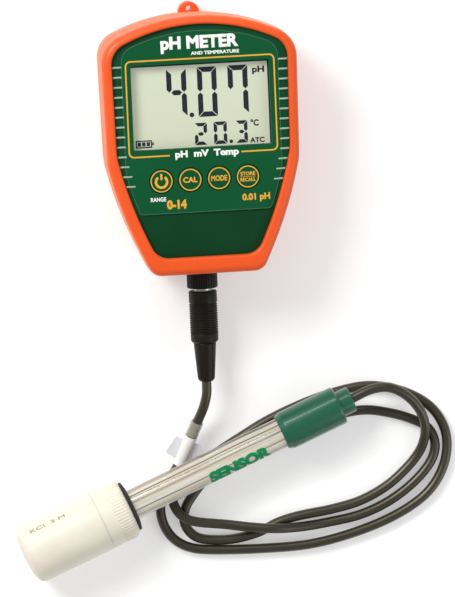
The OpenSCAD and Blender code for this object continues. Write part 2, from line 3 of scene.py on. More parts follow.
import bmesh
import bpy
from mathutils import Matrix, Vector


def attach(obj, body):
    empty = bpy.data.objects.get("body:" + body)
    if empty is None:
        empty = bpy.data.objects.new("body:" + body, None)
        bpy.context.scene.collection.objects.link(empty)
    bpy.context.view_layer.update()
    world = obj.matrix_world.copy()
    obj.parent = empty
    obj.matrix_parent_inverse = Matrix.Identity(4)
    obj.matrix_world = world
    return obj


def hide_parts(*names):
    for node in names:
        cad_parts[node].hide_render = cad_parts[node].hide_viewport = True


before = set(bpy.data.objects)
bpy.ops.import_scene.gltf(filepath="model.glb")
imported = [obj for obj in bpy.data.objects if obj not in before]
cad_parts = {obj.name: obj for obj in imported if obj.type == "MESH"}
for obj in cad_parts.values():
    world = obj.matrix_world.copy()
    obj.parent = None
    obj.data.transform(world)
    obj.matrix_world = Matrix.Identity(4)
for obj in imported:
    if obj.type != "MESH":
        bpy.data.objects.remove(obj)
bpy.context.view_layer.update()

# Lengths are in millimetres here, and MM turns them into metres where a mesh is laid.
MM = 0.001

# ---- sizes that the frame is built to
BODY_W, BODY_H, BOTTOM_Y = 78.6, 104.0, -53.2
FACE_W, FACE_H, FACE_BOTTOM = BODY_W - 8, BODY_H - 10.6, BOTTOM_Y + 7.2
SPLIT_Z, SEAM_Z, TOP_Z, FACE_Z, PRINT_Z = 23.0, 23.6, 39.0, 37.0, 37.4
FLOOR, WALL, FOOT = 3.2, 2.4, 5.6        # the shell's back, its side wall, its back edge's curl
CASE_SCREWS = [(s * 31, 38.2) for s in (-1, 1)] + [(s * 19.6, -46.2) for s in (-1, 1)]
DOOR_SCREWS = [(x, y) for x in (-20, 20) for y in (35.8, -23)]
WINDOW, WINDOW_CORNER = (-27.8, -2.2, 27.8, 31.8), 0.6
APRON_Y = -28.2          # below it the face falls away, and its green is painted darker as that slope's shade
KEY_X, KEY_Y, KEY_TOP, KEY_WAY = (-17.4, -5.8, 5.8, 17.4), -14.85, 37.56, 5.0
GLASS_Z = 33.715         # the face of the display glass
SEGMENT, PRINT = 0.03, 0.04              # how thick the display's marks and the printed words stand
TAB_Y, TAB_R, TAB_HOLE_Y, TAB_HOLE_R = 49.15, 4.25, 50.6, 1.2
PLUG_Z, RING_Y, SLEEVE_Y, GRIP_END, BOOT_END = 12.0, -62.0, -63.2, -84.4, -100.2
TIP, LEAN, ROD_Z = Vector((-76.5, -167.3)), 22.6, 12.6
TUBE_U, CAP_U, SEAL_U, HEAD_U = 8, 33.8, 46.15, 116      # along the electrode, from the bottle
TUBE_R, TUBE_L, STEM_SIDE, BULB_R, BOTTLE_R = 6.25, 118, 0.8, 3.45, 12.6
LEAD_R = 2.0
AROUND = 480             # points round the housing's outlines

ROUTE = [
    (0, -100.2, 12), (-0.2, -105.6, 11.9), (-1.5, -111, 10.6), (-3.4, -116, 8.3),
    (-7.2, -124.8, 5.5), (-11, -133.6, 2.7), (-14.8, -140.2, 2), (-18.4, -147, 2),
    (-20, -153.5, 2), (-18.6, -160.4, 2), (-14.8, -166, 2), (-8.8, -169.6, 2),
    (0, -171.2, 2), (20, -172, 2), (41, -171.4, 2), (61, -167.2, 2), (78, -160.8, 2),
    (90.4, -152.4, 2), (97.2, -141.2, 2), (98.2, -129, 2), (92.8, -118.4, 2),
    (82, -111.2, 2), (68, -107.8, 2), (54, -109.4, 2), (39, -113.8, 2), (25, -119.6, 2),
    (14, -125.6, 2), (3.6, -131.6, 2), (-5.4, -137.4, 2), (-11.6, -142.6, 2),
    (-14.8, -147.6, 3), (-14.4, -152.2, 5), (-11.4, -156.2, 6.4), (-6, -158.6, 6.2),
    (6, -160.6, 5.2), (17, -162.4, 6), (26, -163.4, 6.2), (36, -163.8, 4), (47.6, -163, 2),
    (61.6, -160.6, 2), (74, -155.6, 2), (84.4, -148.4, 2), (91.4, -140.6, 2),
    (93.6, -133.4, 2), (91, -126.6, 2), (84.6, -122.6, 2), (75.4, -119.4, 2),
    (65, -117.6, 2), (54, -119, 2), (42, -123, 2), (26, -128.6, 2), (12, -133, 2),
    (4, -137, 2), (-1.6, -142.4, 2), (-6, -147.6, 2), (-9.6, -153, 2), (-10.6, -158.6, 2),
    (-8.2, -163.6, 2), (-3, -166.6, 2), (8, -167.4, 2), (19, -165.4, 2), (28, -161.6, 2),
    (37, -159.4, 2), (50, -157.6, 2), (62, -154.8, 2), (73, -149.4, 2), (81.4, -142.6, 2),
    (86.6, -136.4, 2.8), (88.8, -131, 4.4), (89.2, -125, 6.6), (87.6, -119.2, 8.4),
    (84, -113.8, 9.9), (78.8, -109.4, 11.2), (73, -107.2, 12.1), (66.2, -107.9, 12.6),
    (58.88, -110.95, 12.6),
]


# ---- outlines
def arc_chain(steps):
    """The right half of an outline from its top: arcs of (radius, end heading, run after it)."""
    at, heading, points = Vector((0, 0)), 0.0, []
    for radius, end, run in steps:
        centre = at - radius * Vector((sin(radians(heading)), cos(radians(heading))))
        count = max(2, ceil((end - heading) / 2.0))
        for k in range(1, count + 1):
            a = radians(heading + (end - heading) * k / count)
            points.append(centre + radius * Vector((sin(a), cos(a))))
        at, heading = points[-1], end
        if run:
            at = at + run * Vector((cos(radians(end)), -sin(radians(end))))
            points.append(at)
    return points


def mirrored(half):
    """A closed outline from its top point and right half."""
    return [Vector((0, 0))] + half + [Vector((-p.x, p.y)) for p in reversed(half) if p.x > 0.01]


def fitted(points, width, height, bottom):
    """The outline stretched to a width and a height, and stood on bottom."""
    wide = max(p.x for p in points)
    low, high = min(p.y for p in points), max(p.y for p in points)
    return [Vector((p.x * width / 2 / wide, bottom + (p.y - low) * height / (high - low)))
            for p in points]


def inset(points, depth):
    """The clockwise outline moved in by depth, or out where depth is below zero."""
    found = []
    for i, p in enumerate(points):
        along = (points[(i + 1) % len(points)] - points[i - 1]).normalized()
        found.append(p + depth * Vector((along.y, -along.x)))
    return found


def polar(points):
    """The outline again, at equal angles round the origin, clockwise from the top."""
    angles = [(atan2(p.x, p.y) % (2 * pi), p) for p in points]
    first = min(range(len(angles)), key=lambda i: angles[i][0])
    angles = angles[first:] + angles[:first]
    (start, early), (end, late) = angles[0], angles[-1]
    angles = [(end - 2 * pi, late)] + angles + [(start + 2 * pi, early)]
    found, i = [], 0
    for k in range(AROUND):
        a = 2 * pi * k / AROUND
        while i < len(angles) - 2 and angles[i + 1][0] <= a:
            i += 1
        (_, p), (_, q) = angles[i], angles[i + 1]
        ray, side = Vector((sin(a), cos(a))), q - p
        cross = ray.x * side.y - ray.y * side.x
        reach = (p.x * side.y - p.y * side.x) / cross if abs(cross) > 1e-9 else p.length
        found.append(ray * reach)
    return found


def rounded(corners, steps=6):
    """A closed outline from corners given as (x, y) or (x, y, radius)."""
    points = []
    for i, corner in enumerate(corners):
        p = Vector(corner[:2])
        if len(corner) == 2 or not corner[2]:
            points.append(p)
            continue
        before = Vector(corners[i - 1][:2]) - p
        after = Vector(corners[(i + 1) % len(corners)][:2]) - p
        half = before.angle(after) / 2
        reach = min(corner[2] / tan(half), 0.48 * before.length, 0.48 * after.length)
        radius = reach * tan(half)
        centre = p + (before.normalized() + after.normalized()).normalized() * (radius / sin(half))
        start = p + before.normalized() * reach - centre
        end = p + after.normalized() * reach - centre
        swing = start.angle_signed(end)
        for k in range(steps + 1):
            points.append(centre + Matrix.Rotation(-swing * k / steps, 2) @ start)
    return points


def rounded_box(left, bottom, right, top, radius):
    corners = (left, bottom), (right, bottom), (right, top), (left, top)
    return rounded([(x, y, radius) for x, y in corners])


def circle(x, y, radius, count):
    return [Vector((x + radius * cos(2 * pi * k / count), y + radius * sin(2 * pi * k / count)))
            for k in range(count)]


def at_height(points, z):
    return [(p.x, p.y, z) for p in points]


BODY_ARCS = [(76, 25.2, 0), (12, 90.9, 38), (20, 103, 0), (170, 115, 6.3), (6, 180, 0)]
FACE_ARCS = [(72, 25, 0), (8.5, 90.9, 33.5), (18, 103, 0), (160, 115, 3), (7.5, 180, 0)]
BODY_LINE = fitted(mirrored(arc_chain(BODY_ARCS)), BODY_W, BODY_H, BOTTOM_Y)
FACE_LINE = fitted(mirrored(arc_chain(FACE_ARCS)), FACE_W, FACE_H, FACE_BOTTOM)


def face_edge(y):
    """How far out the face opening reaches at height y."""
    ends = zip(FACE_LINE, FACE_LINE[1:] + FACE_LINE[:1])
    return max(p.x + (q.x - p.x) * (y - p.y) / (q.y - p.y)
            for p, q in ends if min(p.y, q.y) <= y < max(p.y, q.y))


def body_ring(z, depth):
    return at_height(polar(inset(BODY_LINE, depth)), z)


def face_ring(z, depth):
    return at_height(polar(inset(FACE_LINE, depth)), z)


# ---- shaping
def deselect():
    if bpy.context.object and bpy.context.object.mode != "OBJECT":
        bpy.ops.object.mode_set(mode="OBJECT")
    bpy.ops.object.select_all(action="DESELECT")


def pick(piece):
    """Selects the piece alone and makes it the active one."""
    deselect()
    bpy.context.view_layer.objects.active = piece
    piece.select_set(True)


def edit():
    bpy.ops.object.mode_set(mode="EDIT")
    bpy.ops.mesh.select_all(action="SELECT")


def linked(piece):
    bpy.context.scene.collection.objects.link(piece)
    return piece


def added(name):
    piece = bpy.context.object
    piece.name = piece.data.name = name
    return piece


def lay(piece, points):
    """Moves the piece's vertices, in their order, to the points."""
    for vertex, point in zip(piece.data.vertices, points):
        vertex.co = Vector(point) * MM


def outwards():
    """Turns every face of the edited piece outwards, and ends the edit."""
    bpy.ops.mesh.select_all(action="SELECT")
    bpy.ops.mesh.normals_make_consistent(inside=False)
    bpy.ops.object.mode_set(mode="OBJECT")


def loft(name, rings, closed=False):
    """A skin through rings of equally many points, each extruded from the one before."""
    deselect()
    bpy.ops.mesh.primitive_circle_add(vertices=len(rings[0]))
    piece = added(name)
    lay(piece, rings[0])
    edit()
    mesh = bmesh.from_edit_mesh(piece.data)
    order = {tuple(v.co): v.index for v in mesh.verts}
    for ring in rings[1:] + (rings[:1] if closed else []):
        bpy.ops.mesh.extrude_edges_move()
        mesh = bmesh.from_edit_mesh(piece.data)
        moved = {}
        for vertex in mesh.verts:
            if vertex.select:
                place = order[tuple(vertex.co)]
                vertex.co = Vector(ring[place]) * MM
                moved[tuple(vertex.co)] = place
        order = moved
    bmesh.update_edit_mesh(piece.data)
    bpy.ops.mesh.select_all(action="SELECT")
    if closed:
        bpy.ops.mesh.remove_doubles(threshold=1e-7)
    else:
        bpy.ops.mesh.fill_holes(sides=0)
    outwards()
    return piece


def turned(name, corners, place, steps=96, corner_steps=6):
    """A turned piece, from the corners of its half section as (radius, distance along the axis)."""
    outline = rounded(corners, corner_steps)
    deselect()
    bpy.ops.mesh.primitive_circle_add(vertices=len(outline))
    piece = added(name)
    lay(piece, [(r, 0, h) for r, h in outline])
    edit()
    bpy.ops.mesh.spin(steps=steps, angle=2 * pi, center=(0, 0, 0), axis=(0, 0, 1))
    bpy.ops.mesh.select_all(action="SELECT")
    bpy.ops.mesh.remove_doubles(threshold=1e-6)
    bpy.ops.mesh.dissolve_degenerate(threshold=1e-7)
    bpy.ops.mesh.select_all(action="SELECT")
    bpy.ops.mesh.delete_loose()
    outwards()
    piece.data.transform(place)
    return piece


def slab(name, outline, low, high):
    return loft(name, [at_height(outline, low), at_height(outline, high)])


def band(name, outer, inner, low, high):
    """A flat line of print or trim between two outlines."""
    return loft(name, [at_height(line, z) for line, z in ((outer, low), (outer, high), (inner, high),
            (inner, low))], closed=True)


def rod(name, x, y, low, high, radius, sides=48):
    """An upright cylinder."""
    deselect()
    bpy.ops.mesh.primitive_cylinder_add(vertices=sides, radius=radius * MM, depth=(high - low) * MM,
            location=(x * MM, y * MM, (low + high) / 2 * MM))
    bpy.ops.object.transform_apply()
    return added(name)


def cut(piece, *tools, how="DIFFERENCE"):
    """Takes the tools away from the piece, or joins them to it as one solid, and uses them up."""
    for tool in tools:
        pick(piece)
        step = piece.modifiers.new("cut", "BOOLEAN")
        step.operation, step.solver, step.object = how, "EXACT", tool
        bpy.ops.object.modifier_apply(modifier=step.name)
        bpy.data.objects.remove(tool)
    return piece


def joined(name, pieces):
    deselect()
    for piece in pieces:
        piece.select_set(True)
    bpy.context.view_layer.objects.active = pieces[0]
    if len(pieces) > 1:
        bpy.ops.object.join()
    return added(name)


def copied(piece, places):
    """The piece, and a copy of it with its own mesh, at each place."""
    copies = []
    for place in places:
        twin = piece.copy()
        twin.data = piece.data.copy()
        twin.data.transform(place)
        copies.append(linked(twin))
    bpy.data.objects.remove(piece)
    return copies


def lettering(name, words, box, low, thick, heavy):
    """Words as a sheet on low, thickened by heavy of their size and stretched to box."""
    deselect()
    bpy.ops.object.text_add()
    text = added(name)
    text.data.body, text.data.extrude, text.data.bevel_depth = words, 0.5, heavy
    text.data.bevel_resolution = 0
    bpy.ops.object.convert(target="MESH")
    text = added(name)
    columns = list(zip(*(vertex.co for vertex in text.data.vertices)))
    spans = [(min(column), max(column)) for column in columns]
    wanted = [(box[0], box[2]), (box[1], box[3]), (low, low + thick)]
    for vertex in text.data.vertices:
        vertex.co = Vector([to[0] + (c - span[0]) * (to[1] - to[0]) / (span[1] - span[0])
                for c, span, to in zip(vertex.co, spans, wanted)]) * MM
    return text


def wrapped(piece, radius, place):
    """Bends a flat sheet over a cylinder at place: x along its axis, y round it from the top."""
    pick(piece)
    edit()
    bpy.ops.mesh.subdivide(number_cuts=4)
    bpy.ops.object.mode_set(mode="OBJECT")
    for vertex in piece.data.vertices:
        x, y, z = vertex.co / MM
        a = y / radius
        vertex.co = Vector((-(radius + z) * cos(a), (radius + z) * sin(a), x)) * MM
    piece.data.transform(place)
    return piece


def on_plug(y):
    """The plug's axis: from y towards the meter."""
    return Matrix.Translation(Vector((0, y, PLUG_Z)) * MM) @ Matrix.Rotation(radians(-90), 4, "X")


def on_rod(u, side=0.0):
    """The electrode's axis, level with the table: u from the bottle's end, side across it."""
    lean = radians(LEAN)
    along, across = Vector((cos(lean), sin(lean))), Vector((-sin(lean), cos(lean)))
    foot = TIP + u * along + side * across
    return (Matrix.Translation(Vector((foot.x, foot.y, ROD_Z)) * MM) @ Matrix.Rotation(lean, 4, "Z")
            @ Matrix.Rotation(radians(90), 4, "Y"))


# ---- finishes
def paint(red, green, blue):
    """A colour as it is seen, 0 to 255, in the linear light that shaders use."""
    return tuple((c / 255 / 12.92) if c <= 10 else ((c / 255 + 0.055) / 1.055) ** 2.4
            for c in (red, green, blue)) + (1.0,)


def on_wires(operation):
    return lambda first, second: first.finish.sum(operation, first, second)


class Wire:
    """A shader socket that carries a number, on which sums can be written."""

    def __init__(self, finish, socket):
        self.finish, self.socket = finish, socket

    def __rsub__(self, other):
        return self.finish.sum("SUBTRACT", other, self)

    __add__ = __radd__ = on_wires("ADD")
    __mul__ = __rmul__ = on_wires("MULTIPLY")
    __sub__, __pow__ = on_wires("SUBTRACT"), on_wires("POWER")


class Finish:
    """One surface: its shader's fixed values, and the nodes that vary it."""

    def __init__(self, name, **fixed):
        self.material = bpy.data.materials.new(name)
        self.material.use_nodes = True
        self.tree = self.material.node_tree
        self.tree.nodes.clear()
        self.shader = self.node("BsdfPrincipled").socket.node
        ends = self.tree.nodes.new("ShaderNodeOutputMaterial")
        self.tree.links.new(self.shader.outputs[0], ends.inputs[0])
        for socket, value in fixed.items():
            self.shader.inputs[socket.replace("_", " ")].default_value = value
        self.place = self.node("TexCoord", {}, {}, 3)

    def node(self, kind, settings=None, values=None, output=0):
        """A new shader node, with its settings and its inputs; gives one of its outputs."""
        made = self.tree.nodes.new("ShaderNode" + kind)
        for key, value in (settings or {}).items():
            setattr(made, key, value)
        for key, value in (values or {}).items():
            if isinstance(value, Wire):
                self.tree.links.new(value.socket, made.inputs[key])
            else:
                made.inputs[key].default_value = value
        return Wire(self, made.outputs[output])

    def grain(self, size, detail, stretch=(1, 1, 1)):
        """Cloudy noise from 0 to 1, with features of about size millimetres."""
        spread = self.node("Mapping", {}, {0: self.place, 3: stretch})
        return self.node("TexNoise", {}, {"Vector": spread, "Scale": 1 / (size * MM),
                "Detail": detail, "Roughness": 0.5})

    def axis(self, letter):
        """The distance along one of the frame's axes, in millimetres."""
        return self.node("SeparateXYZ", {}, {0: self.place}, "XYZ".index(letter)) * (1 / MM)

    def sum(self, operation, *values):
        return self.node("Math", {"operation": operation}, dict(enumerate(values)))

    def ramp(self, value, low, high):
        """0 below low, 1 above high and straight between."""
        return self.node("MapRange", {"clamp": True}, {0: value, 1: low, 2: high, 3: 0.0, 4: 1.0})

    def blend(self, share, first, second):
        return self.node("Mix", {"data_type": "RGBA"}, {0: share, 6: first, 7: second}, 2)

    def feed(self, **sockets):
        """Drives the shader's inputs, whose names are written with _ for a space."""
        for socket, value in sockets.items():
            self.tree.links.new(value.socket, self.shader.inputs[socket.replace("_", " ")])
        return self

    def relief(self, height, depth):
        """height, from 0 to 1, felt as a relief of depth millimetres."""
        bump = self.node("Bump", {}, {"Strength": 1.0, "Distance": depth * MM, "Height": height})
        return self.feed(Normal=bump)

    def skin(self, share, first, second, rough, height, depth):
        """A colour between first and second by share, with a roughness and a relief."""
        self.feed(Base_Color=self.blend(share, first, second), Roughness=rough)
        return self.relief(height, depth)


def shade(colour, share):
    """The colour made darker or lighter by a share of itself."""
    return tuple(min(1.0, c * share) for c in colour[:3]) + (1.0,)


def moulded(name, colour, rough, texture, cell, drift, **fixed):
    """Moulded plastic or rubber: fine texture, flow clouds, and duller patches from handling."""
    finish = Finish(name, **fixed)
    cloud, fine = finish.grain(22, 3), finish.grain(cell, 2)
    dark, light = shade(colour, 1 - 2.4 * drift), shade(colour, 1 + drift)
    return finish.skin(cloud * 0.7 + fine * 0.3, dark, light, rough - 0.06 + finish.grain(6, 4) * 0.12,
            fine, texture)


def metal(name, colour, rough, stretch=(1, 1, 1)):
    """Plated or drawn metal with fine marks from its tool."""
    finish = Finish(name, Metallic=1.0)
    marks, cloud = finish.grain(0.25, 3, stretch), finish.grain(3, 3)
    return finish.skin(cloud, shade(colour, 0.8), colour, rough + marks * 0.18, marks, 0.004)


def ink(name, colour, rough=0.42):
    """Screen print: even colour with pinholes and a slightly lifted edge."""
    finish = Finish(name, Specular_IOR_Level=0.2)
    speck, cloud = finish.grain(0.12, 1), finish.grain(4, 2)
    thin = finish.ramp(speck, 0.3, 0.42)
    return finish.skin(thin * 0.6 + cloud * 0.4, shade(colour, 0.78), colour, rough + cloud * 0.08,
            thin, 0.005)


def clear(name, colour, solid, edge, rough, cell, depth, marks=0.06):
    """Clear plastic or glass: solid is its alpha face on, which edge raises along its wall."""
    finish = Finish(name)
    facing = finish.node("LayerWeight", {}, {"Blend": 0.35}, 1)
    streak = finish.grain(cell, 3)
    finish.feed(Alpha=solid + facing ** 2.0 * edge + streak * marks)
    return finish.skin(streak, colour, shade(colour, 1.15), rough + streak * 0.06, streak, depth)


def drawn_tube():
    """The electrode's clear sheath: a painted cream glow, streaks painted near white as its highlights,
    and long dark lines painted where it bends the light.
    """
    # Painted light: the emission makes the sheath glow though it is no lamp.
    finish = Finish("clear_tube", Coat_Weight=1.0, Coat_Roughness=0.04, Emission_Strength=0.16)
    finish.place = finish.node("Mapping", {}, {0: finish.place, 2: (0, 0, -radians(LEAN))})
    middle = TIP.y * cos(radians(LEAN)) - TIP.x * sin(radians(LEAN))
    wave = finish.grain(1.6, 2, (0.03, 1, 1))
    across = finish.axis("Y") - middle + (finish.grain(30, 1) - 0.5) * 0.7
    # Painted refraction: dark lines along the tube where it bends the light.
    lines = wave * 0.0
    for place, width, weight in ((-6.0, 0.6, 1.0), (-4.4, 0.35, 0.8), (-1.7, 0.5, 1.0), (1.9, 0.9, 0.8),
            (3.2, 0.3, 1.3), (4.3, 0.35, 1.2), (6.0, 0.6, 1.2)):
        away = finish.sum("ABSOLUTE", across - place)
        lines = lines + (1 - finish.ramp(away, 0.05, width)) * weight
    lines = finish.ramp(lines * (wave * 1.5 + 0.1), 0.0, 1.0)
    # Cream to near-white streaks along the drawn waves; their white is partly painted highlight.
    body = finish.blend(finish.ramp(wave, 0.38, 0.6), paint(206, 190, 154), paint(255, 253, 247))
    painted_tone = finish.blend(lines, body, paint(58, 46, 24))
    finish.feed(Base_Color=painted_tone, Emission_Color=painted_tone, Alpha=0.54 + lines * 0.4 - wave * 0.2,
            Roughness=0.06 + wave * 0.1)
    return finish.relief(wave, 0.05)


def poured(name, colour, bend, rough):
    """Solid clear plastic or glass, with faint drawn waves along its skin."""
    finish = Finish(name, Transmission_Weight=1.0, IOR=bend)
    wave, cloud = finish.grain(6, 2), finish.grain(20, 2)
    return finish.skin(cloud, colour, (1, 1, 1, 1), rough + wave * 0.03, wave, 0.04)


ORANGE = moulded("orange_shell", paint(226, 82, 26), 0.42, 0.010, 0.3, 0.035, Coat_Weight=0.14,
        Coat_Roughness=0.22, Specular_IOR_Level=0.25, Sheen_Weight=0.3, Sheen_Roughness=0.35,
        Sheen_Tint=paint(255, 206, 120))
BLACK = moulded("black_plug_plastic", paint(20, 15, 6), 0.44, 0.012, 0.3, 0.12,
        Specular_IOR_Level=0.22)
CAP_GREEN = moulded("green_cap_plastic", paint(4, 86, 62), 0.34, 0.006, 0.5, 0.05, Coat_Weight=0.7,
        Coat_Roughness=0.2, Specular_IOR_Level=0.3)
TUBE_INK = ink("green_tube_print", paint(6, 138, 84))
SCALE_INK = ink("bottle_scale_print", paint(158, 156, 134))
RUBBER = moulded("black_rubber", paint(15, 15, 14), 0.62, 0.02, 0.25, 0.15)
GOLD_INK = ink("gold_print", paint(222, 166, 58))
WHITE_INK = ink("white_print", paint(238, 240, 236))
GREEN_KEY = moulded("green_key_plastic", paint(8, 74, 40), 0.38, 0.008, 0.25, 0.05,
        Specular_IOR_Level=0.15)
NICKEL = metal("nickel_plate", paint(196, 192, 182), 0.22)
STEEL = metal("steel_screw", paint(180, 182, 184), 0.3, (1, 1, 0.2))
GILT = metal("gilt_pin", paint(214, 176, 92), 0.25)


def printed_panel():
    """The overlay: satin film with a fine emboss, printed deep green on its back."""
    finish = Finish("green_overlay_film", Specular_IOR_Level=0.12)
    fine, cloud = finish.grain(0.22, 1), finish.grain(30, 2)
    return finish.skin(cloud * 0.8 + fine * 0.2, paint(6, 70, 38), paint(11, 84, 47),
            0.34 + finish.grain(5, 4) * 0.12, fine, 0.006)


def moulded_face():
    """The face moulding: below APRON_Y its apron is a glossier green, painted darker as the shade of
    its falling slope.
    """
    finish = Finish("green_face_plastic", Specular_IOR_Level=0.15)
    fine, cloud = finish.grain(0.3, 2), finish.grain(18, 3)
    apron = finish.ramp(finish.axis("Y"), APRON_Y + 0.3, APRON_Y - 0.1)
    upper = finish.blend(cloud, paint(7, 60, 34), paint(11, 70, 41))
    # Painted shade: the apron's darker green stands in for the light it loses as it slopes away.
    apron_shade_green = finish.blend(cloud, paint(4, 54, 27), paint(8, 62, 32))
    return finish.skin(apron, upper, apron_shade_green, 0.42 - 0.08 * apron + fine * 0.06, fine, 0.01)


def display_back():
    """The display's polariser: grey-green with faint rows, painted lighter towards its top as a soft
    fall of light, and given a painted glow though nothing lights it from behind.
    """
    glow = paint(206, 211, 188)
    # Painted light: the emission makes the display glow, which evens out the shade of its recess.
    finish = Finish("display_back", Specular_IOR_Level=0.2, Emission_Color=glow, Emission_Strength=0.3)
    rows = finish.grain(0.18, 1, (1, 6, 1))
    # Painted light: lighter towards the top of the display, as light falls down it.
    fall = finish.ramp(finish.axis("Y"), -3, 32) * 0.75 + finish.grain(26, 2) * 0.25
    return finish.skin(fall * 0.9 + rows * 0.1, paint(168, 172, 151), paint(178, 182, 164),
            0.4 + rows * 0.08, rows, 0.004)


def lead_skin():
    """The lead's sheath: soft dark olive vinyl with a dull bloom, fine grain and faint kinks."""
    finish = Finish("lead_vinyl", Coat_Weight=0.5, Coat_Roughness=0.32, Specular_IOR_Level=0.6,
            Specular_Tint=paint(255, 248, 222), Coat_Tint=paint(255, 250, 230))
    bloom, fine, lay_marks = finish.grain(9, 4), finish.grain(0.3, 2), finish.grain(2.2, 3)
    return finish.skin(bloom * 0.7 + lay_marks * 0.3, paint(15, 13, 7), paint(34, 31, 19),
            0.36 + bloom * 0.14, fine * 0.3 + lay_marks * 0.7, 0.03)


def milky_plastic():
    """Soft milky polythene: light goes into it, its skin is waxy and not quite even."""
    finish = Finish("milky_bottle_plastic", Subsurface_Weight=0.3, Subsurface_Scale=1.0,
            Subsurface_Radius=(0.004, 0.0034, 0.0024))
    cloud, wax, fine = finish.grain(14, 3), finish.grain(2.5, 3), finish.grain(0.4, 2)
    return finish.skin(cloud, paint(218, 210, 193), paint(230, 224, 210), 0.36 + wax * 0.14,
            wax * 0.6 + fine * 0.4, 0.03)


def paper():
    """The label's coated paper, with its fibres."""
    finish = Finish("label_paper")
    fibre, cloud = finish.grain(0.5, 4, (1, 0.25, 1)), finish.grain(5, 2)
    return finish.skin(fibre * 0.6 + cloud * 0.4, paint(214, 214, 210), paint(243, 243, 240),
            0.55 + fibre * 0.2, fibre, 0.02)


FILM, FACE_PLASTIC, DISPLAY, SHEATH, MILKY, PAPER = (
    printed_panel(), moulded_face(), display_back(), lead_skin(), milky_plastic(), paper())
SEGMENT_INK = ink("display_segment", paint(26, 30, 46), 0.35)
# Painted highlight: the ribs are the face's green, painted pale as the light their tops catch.
RIB_HIGHLIGHT_GREEN = moulded("rib_green_painted_highlight", paint(146, 176, 152), 0.34, 0.006, 0.25, 0.05)
# Painted highlight: the pale line round the overlay's cut edge.
FILM_EDGE_HIGHLIGHT = ink("overlay_edge_painted_highlight", paint(60, 112, 82))
CLEAR_LENS = clear("clear_lens", (0.9, 0.95, 0.92, 1), 0.0, 0.2, 0.05, 30, 0.01, marks=0.008)
CLEAR_TUBE = drawn_tube()
INNER_GLASS = poured("inner_glass", paint(244, 243, 234), 1.47, 0.01)
CLEAR_SLEEVE = clear("clear_sleeve_film", paint(168, 164, 148), 0.42, 0.3, 0.2, 1.5, 0.12)
FLAG_FILM = clear("label_flag_film", paint(222, 221, 228), 0.6, 0.2, 0.25, 3, 0.1)
DARK_RESIN = moulded("dark_stem_resin", paint(38, 34, 26), 0.4, 0.02, 0.5, 0.1)
INSIDE = {                # its nodes: finish name, colour, roughness, texture, cell and drift
    ("main_board",): ("board_green_mask", (16, 84, 48), 0.35, 0.02, 1.2, 0.08),
    ("board_chips", "socket_insert", "plug_insert"):
        ("chip_black_resin", (24, 24, 26), 0.5, 0.02, 0.4, 0.1),
    ("lcd_holder",): ("inner_white_plastic", (226, 226, 220), 0.45, 0.01, 0.4, 0.03),
    ("battery_tray",): ("tray_black_plastic", (34, 34, 36), 0.5, 0.015, 0.4, 0.1),
    ("zebra_strips",): ("contact_rubber", (196, 96, 120), 0.6, 0.02, 0.3, 0.06),
    ("battery_cells",): ("cell_sleeve_film", (58, 66, 84), 0.3, 0.01, 0.6, 0.08),
    ("socket_wires",): ("wire_red_vinyl", (180, 40, 32), 0.45, 0.01, 0.3, 0.06),
    ("temp_sensor",): ("sensor_grey_sleeve", (128, 122, 108), 0.4, 0.02, 0.6, 0.1),
}


def fit(piece, body, finish, slot, *nodes, smooth=35):
    """Gives a piece its finish, its body and the CAD nodes that it stands for.

    It is shaded smooth across edges flatter than smooth degrees.
    """
    if piece.type == "MESH" and smooth:
        pick(piece)
        bpy.ops.object.shade_smooth_by_angle(angle=radians(smooth))
    piece.data.materials.clear()
    piece.data.materials.append(finish.material)
    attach(piece, body)
    if nodes:
        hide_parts(*nodes)
    return piece


def dress(finish, *nodes):
    for node in nodes:
        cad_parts[node].material_slots[0].material = finish.material


# ---- camera and lead
AIM, AWAY = Vector((10.133, -67.326, 10.698)), 3000
SENSOR_MM, LENS_MM = 36, 447.74
VIEW_BACK = Vector((-0.113819, 0.139173, 0.983705))
VIEW_RIGHT = Vector((0.991730, -0.043195, 0.120858))
VIEW_UP = Vector((0.059311, 0.989326, -0.133106))

bpy.ops.object.camera_add()
camera = bpy.context.object
camera.matrix_world = (Matrix.Translation((AIM + AWAY * VIEW_BACK) * MM)
        @ Matrix((VIEW_RIGHT, VIEW_UP, VIEW_BACK)).transposed().to_4x4())
camera.data.sensor_width, camera.data.lens = SENSOR_MM, LENS_MM
camera.data.clip_start, camera.data.clip_end = 0.1, 20
bpy.context.scene.camera = camera


def smooth_route(points, step):
    """The spline through the route's points, with a point about every step millimetres."""
    points = [Vector(p) for p in points]
    ends = [2 * points[0] - points[1]] + points + [2 * points[-1] - points[-2]]
    found = []
    for a, b, c, d in zip(ends, ends[1:], ends[2:], ends[3:]):
        count = max(1, round((c - b).length / step))
        for k in range(count):
            t = k / count
            found.append(0.5 * (2 * b + (c - a) * t + (2 * a - 5 * b + 4 * c - d) * t * t
                    + (3 * b - a - 3 * c + d) * t ** 3))
    return found + [points[-1]]


def make_lead():
    """The cord, from the plug's boot to the electrode's head."""
    line = smooth_route(ROUTE, 1.5)
    curve = bpy.data.curves.new("lead", "CURVE")
    curve.dimensions, curve.use_fill_caps = "3D", True
    curve.bevel_depth, curve.bevel_resolution = LEAD_R * MM, 6
    spline = curve.splines.new("POLY")
    spline.points.add(len(line) - 1)
    for point, place in zip(spline.points, line):
        point.co = (*(place * MM), 1.0)
    spline.use_smooth = True
    lead = linked(bpy.data.objects.new("lead", curve))
    fit(lead, "lead", SHEATH, "black_rubber", "lead_cord")
    length = sum((b - a).length for a, b in zip(line, line[1:])) * MM


make_lead()


